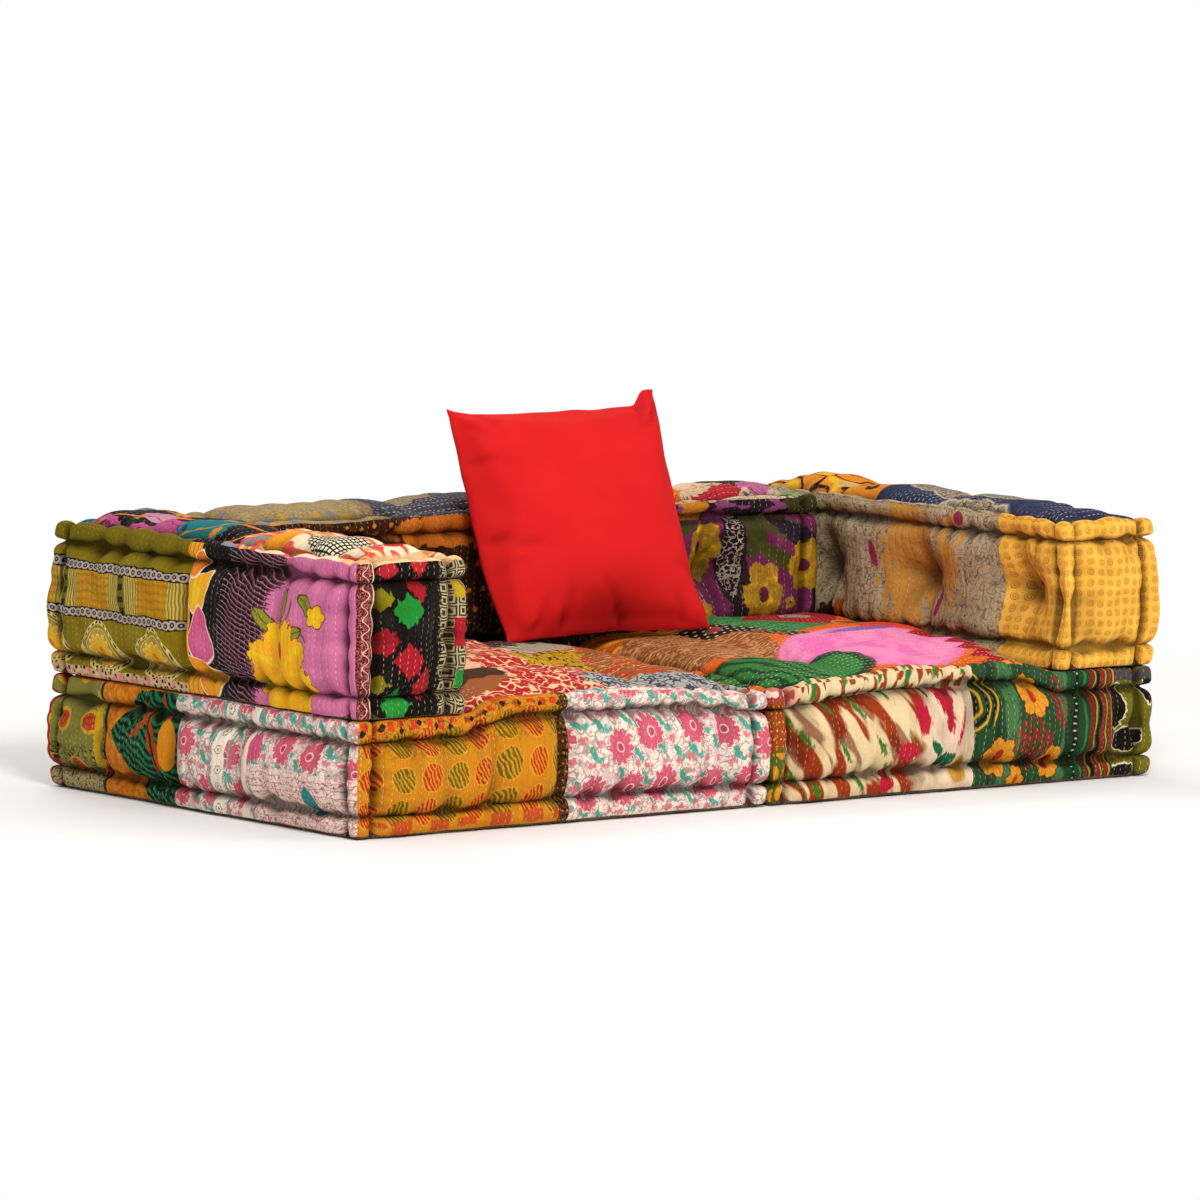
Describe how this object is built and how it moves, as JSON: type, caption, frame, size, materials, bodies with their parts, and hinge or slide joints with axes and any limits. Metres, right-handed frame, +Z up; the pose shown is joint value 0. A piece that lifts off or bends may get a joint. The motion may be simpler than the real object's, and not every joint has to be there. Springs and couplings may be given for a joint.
{
  "type": "modular floor cushion sofa",
  "caption": "Low floor sofa of loose quilted patchwork cushions: square bases, arms and a back laid on them, and a red scatter pillow leaning on the back.",
  "frame": {"origin": "on the floor, under the middle of the sofa's outline", "axes": "+X along the sofa, to the right as seen from the front; +Y to the back; +Z up"},
  "size_m": [1.6362, 0.836, 0.6001],
  "materials": {
    "base_left_top_cloth": "printed cotton patchwork with running stitches",
    "base_left_front_cloth": "printed cotton patchwork with running stitches",
    "base_left_inner_side_cloth": "printed cotton patchwork with running stitches",
    "base_left_rear_cloth": "printed cotton patchwork with running stitches",
    "base_left_outer_side_cloth": "printed cotton patchwork with running stitches",
    "base_left_bottom_cloth": "printed cotton patchwork with running stitches",
    "cotton_stuffing": "loose cotton stuffing",
    "tuft_twine": "white cotton twine",
    "base_right_top_cloth": "printed cotton patchwork with running stitches",
    "base_right_front_cloth": "printed cotton patchwork with running stitches",
    "base_right_inner_side_cloth": "printed cotton patchwork with running stitches",
    "base_right_rear_cloth": "printed cotton patchwork with running stitches",
    "base_right_outer_side_cloth": "printed cotton patchwork with running stitches",
    "base_right_bottom_cloth": "printed cotton patchwork with running stitches",
    "arm_left_top_cloth": "printed cotton patchwork with running stitches",
    "arm_left_front_end_cloth": "printed cotton patchwork with running stitches",
    "arm_left_inner_side_cloth": "printed cotton patchwork with running stitches",
    "arm_left_rear_end_cloth": "printed cotton patchwork with running stitches",
    "arm_left_outer_side_cloth": "printed cotton patchwork with running stitches",
    "arm_left_bottom_cloth": "printed cotton patchwork with running stitches",
    "arm_right_top_cloth": "printed cotton patchwork with running stitches",
    "arm_right_front_end_cloth": "printed cotton patchwork with running stitches",
    "arm_right_inner_side_cloth": "printed cotton patchwork with running stitches",
    "arm_right_rear_end_cloth": "printed cotton patchwork with running stitches",
    "arm_right_outer_side_cloth": "printed cotton patchwork with running stitches",
    "arm_right_bottom_cloth": "printed cotton patchwork with running stitches",
    "back_top_cloth": "printed cotton patchwork with running stitches",
    "back_front_cloth": "printed cotton patchwork with running stitches",
    "back_right_end_cloth": "printed cotton patchwork with running stitches",
    "back_rear_cloth": "printed cotton patchwork with running stitches",
    "back_left_end_cloth": "printed cotton patchwork with running stitches",
    "back_bottom_cloth": "printed cotton patchwork with running stitches",
    "pillow_front_cloth": "plain matte red cotton",
    "pillow_rear_cloth": "plain matte red cotton"
  },
  "bodies": {
    "base_left": {"base_left_top": "base_left_top_cloth", "base_left_front": "base_left_front_cloth", "base_left_inner_side": "base_left_inner_side_cloth", "base_left_rear": "base_left_rear_cloth", "base_left_outer_side": "base_left_outer_side_cloth", "base_left_bottom": "base_left_bottom_cloth", "base_left_filling": "cotton_stuffing", "base_left_tufts": "tuft_twine"},
    "base_right": {"base_right_top": "base_right_top_cloth", "base_right_front": "base_right_front_cloth", "base_right_inner_side": "base_right_inner_side_cloth", "base_right_rear": "base_right_rear_cloth", "base_right_outer_side": "base_right_outer_side_cloth", "base_right_bottom": "base_right_bottom_cloth", "base_right_filling": "cotton_stuffing", "base_right_tufts": "tuft_twine"},
    "arm_left": {"arm_left_top": "arm_left_top_cloth", "arm_left_front_end": "arm_left_front_end_cloth", "arm_left_inner_side": "arm_left_inner_side_cloth", "arm_left_rear_end": "arm_left_rear_end_cloth", "arm_left_outer_side": "arm_left_outer_side_cloth", "arm_left_bottom": "arm_left_bottom_cloth", "arm_left_filling": "cotton_stuffing", "arm_left_tufts": "tuft_twine"},
    "arm_right": {"arm_right_top": "arm_right_top_cloth", "arm_right_front_end": "arm_right_front_end_cloth", "arm_right_inner_side": "arm_right_inner_side_cloth", "arm_right_rear_end": "arm_right_rear_end_cloth", "arm_right_outer_side": "arm_right_outer_side_cloth", "arm_right_bottom": "arm_right_bottom_cloth", "arm_right_filling": "cotton_stuffing", "arm_right_tufts": "tuft_twine"},
    "back": {"back_top": "back_top_cloth", "back_front": "back_front_cloth", "back_right_end": "back_right_end_cloth", "back_rear": "back_rear_cloth", "back_left_end": "back_left_end_cloth", "back_bottom": "back_bottom_cloth", "back_filling": "cotton_stuffing", "back_tufts": "tuft_twine"},
    "pillow": {"pillow_front": "pillow_front_cloth", "pillow_rear": "pillow_rear_cloth", "pillow_filling": "cotton_stuffing"}
  },
  "joints": [
    {"name": "base_right_slide", "type": "slide", "parent": "base_left", "child": "base_right", "axis": [1, 0, 0], "range_m": [0, 0.25]},
    {"name": "arm_left_lift", "type": "slide", "parent": "base_left", "child": "arm_left", "axis": [0, 0, 1], "range_m": [0, 0.3]},
    {"name": "arm_right_lift", "type": "slide", "parent": "base_right", "child": "arm_right", "axis": [0, 0, 1], "range_m": [0, 0.3]},
    {"name": "back_lift", "type": "slide", "parent": "base_left", "child": "back", "axis": [0, 0, 1], "range_m": [0, 0.3]},
    {"name": "pillow_lift", "type": "slide", "parent": "back", "child": "pillow", "axis": [0, 0, 1], "range_m": [0, 0.4]}
  ]
}
